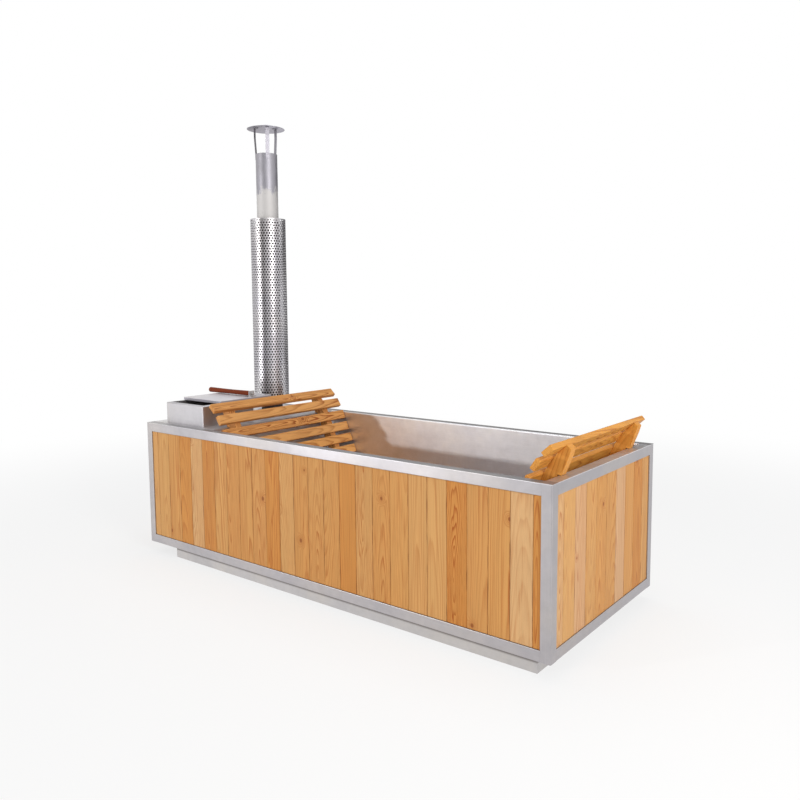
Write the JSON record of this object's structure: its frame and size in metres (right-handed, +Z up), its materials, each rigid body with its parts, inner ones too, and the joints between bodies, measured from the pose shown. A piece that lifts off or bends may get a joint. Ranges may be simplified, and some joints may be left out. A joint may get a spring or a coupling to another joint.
{
  "type": "wood-burning hot tub",
  "caption": "Rectangular wood-burning hot tub: steel tub in a timber-clad steel frame, built-in stove with hopper, lid, guarded flue and rain cap, lift-out slatted backrests.",
  "frame": {"origin": "centre of the cabinet's footprint on the floor", "axes": "+X along the length away from the stove end, +Y to the rear, +Z up"},
  "size_m": [2.225, 0.89, 2.187],
  "materials": {
    "frame_steel": "brushed",
    "tub_steel": "brushed",
    "firebox_steel": "heat-dulled",
    "grate_iron": "rough",
    "flue_steel": "brushed",
    "guard_steel": "bright",
    "fastener_steel": "plain",
    "cladding_wood": "oiled softwood",
    "strip_wood": "sawn softwood",
    "backrest_left_wood": "oiled",
    "backrest_right_wood": "oiled",
    "handle_wood": "oiled hardwood",
    "seal_rubber": "matt"
  },
  "bodies": {
    "tub": {"post_front_left": "frame_steel", "post_front_right": "frame_steel", "post_rear_left": "frame_steel", "post_rear_right": "frame_steel", "top_rail_front": "frame_steel", "top_rail_rear": "frame_steel", "top_rail_left": "frame_steel", "top_rail_right": "frame_steel", "bottom_rail_front": "frame_steel", "bottom_rail_rear": "frame_steel", "bottom_rail_left": "frame_steel", "bottom_rail_right": "frame_steel", "floor_bearers": "frame_steel", "plinth_panels": "frame_steel", "cladding_front_boards": "cladding_wood", "cladding_rear_boards": "cladding_wood", "cladding_left_boards": "cladding_wood", "cladding_right_boards": "cladding_wood", "cladding_strips": "strip_wood", "tub_floor": "tub_steel", "tub_front_wall": "tub_steel", "tub_rear_wall": "tub_steel", "tub_left_wall": "tub_steel", "tub_right_wall": "tub_steel", "stove_wall": "tub_steel", "stove_deck": "tub_steel", "hopper": "tub_steel", "drain_bush": "tub_steel", "drain_locknut": "tub_steel", "drain_outlet": "tub_steel", "firebox": "firebox_steel", "firebox_feet": "firebox_steel", "grate_ledges": "firebox_steel", "smoke_baffle": "firebox_steel", "fire_grate": "grate_iron", "flue_spigot": "flue_steel", "drain_gasket": "seal_rubber"},
    "flue": {"flue_pipe": "flue_steel", "flue_guard": "guard_steel", "guard_spacers": "flue_steel", "guard_screws": "fastener_steel"},
    "cap": {"rain_cap": "flue_steel", "cap_leg_rear": "flue_steel", "cap_leg_left": "flue_steel", "cap_leg_right": "flue_steel"},
    "lid": {"lid": "tub_steel", "handle_bracket": "tub_steel", "handle_grip": "handle_wood", "handle_bolt": "fastener_steel", "handle_nut": "fastener_steel"},
    "backrest_left": {"backrest_left_slats": "backrest_left_wood", "backrest_left_batten_front": "backrest_left_wood", "backrest_left_batten_rear": "backrest_left_wood", "backrest_left_struts": "backrest_left_wood"},
    "backrest_right": {"backrest_right_slats": "backrest_right_wood", "backrest_right_batten_front": "backrest_right_wood", "backrest_right_batten_rear": "backrest_right_wood", "backrest_right_struts": "backrest_right_wood"},
    "drain_plug": {"drain_plug": "seal_rubber"}
  },
  "joints": [
    {"name": "lid_slide", "type": "slide", "parent": "tub", "child": "lid", "axis": [0, 1, 0], "range_m": [-0.11, 0.085]},
    {"name": "backrest_left_lift", "type": "slide", "parent": "tub", "child": "backrest_left", "axis": [0, 0, 1], "range_m": [0, 0.6]},
    {"name": "backrest_right_lift", "type": "slide", "parent": "tub", "child": "backrest_right", "axis": [0, 0, 1], "range_m": [0, 0.6]},
    {"name": "flue_lift", "type": "slide", "parent": "tub", "child": "flue", "axis": [0, 0, 1], "range_m": [0, 0.1]},
    {"name": "cap_lift", "type": "slide", "parent": "flue", "child": "cap", "axis": [0, 0, 1], "range_m": [0, 0.08]},
    {"name": "drain_plug_lift", "type": "slide", "parent": "tub", "child": "drain_plug", "axis": [0, 0, 1], "range_m": [0, 0.06]}
  ]
}
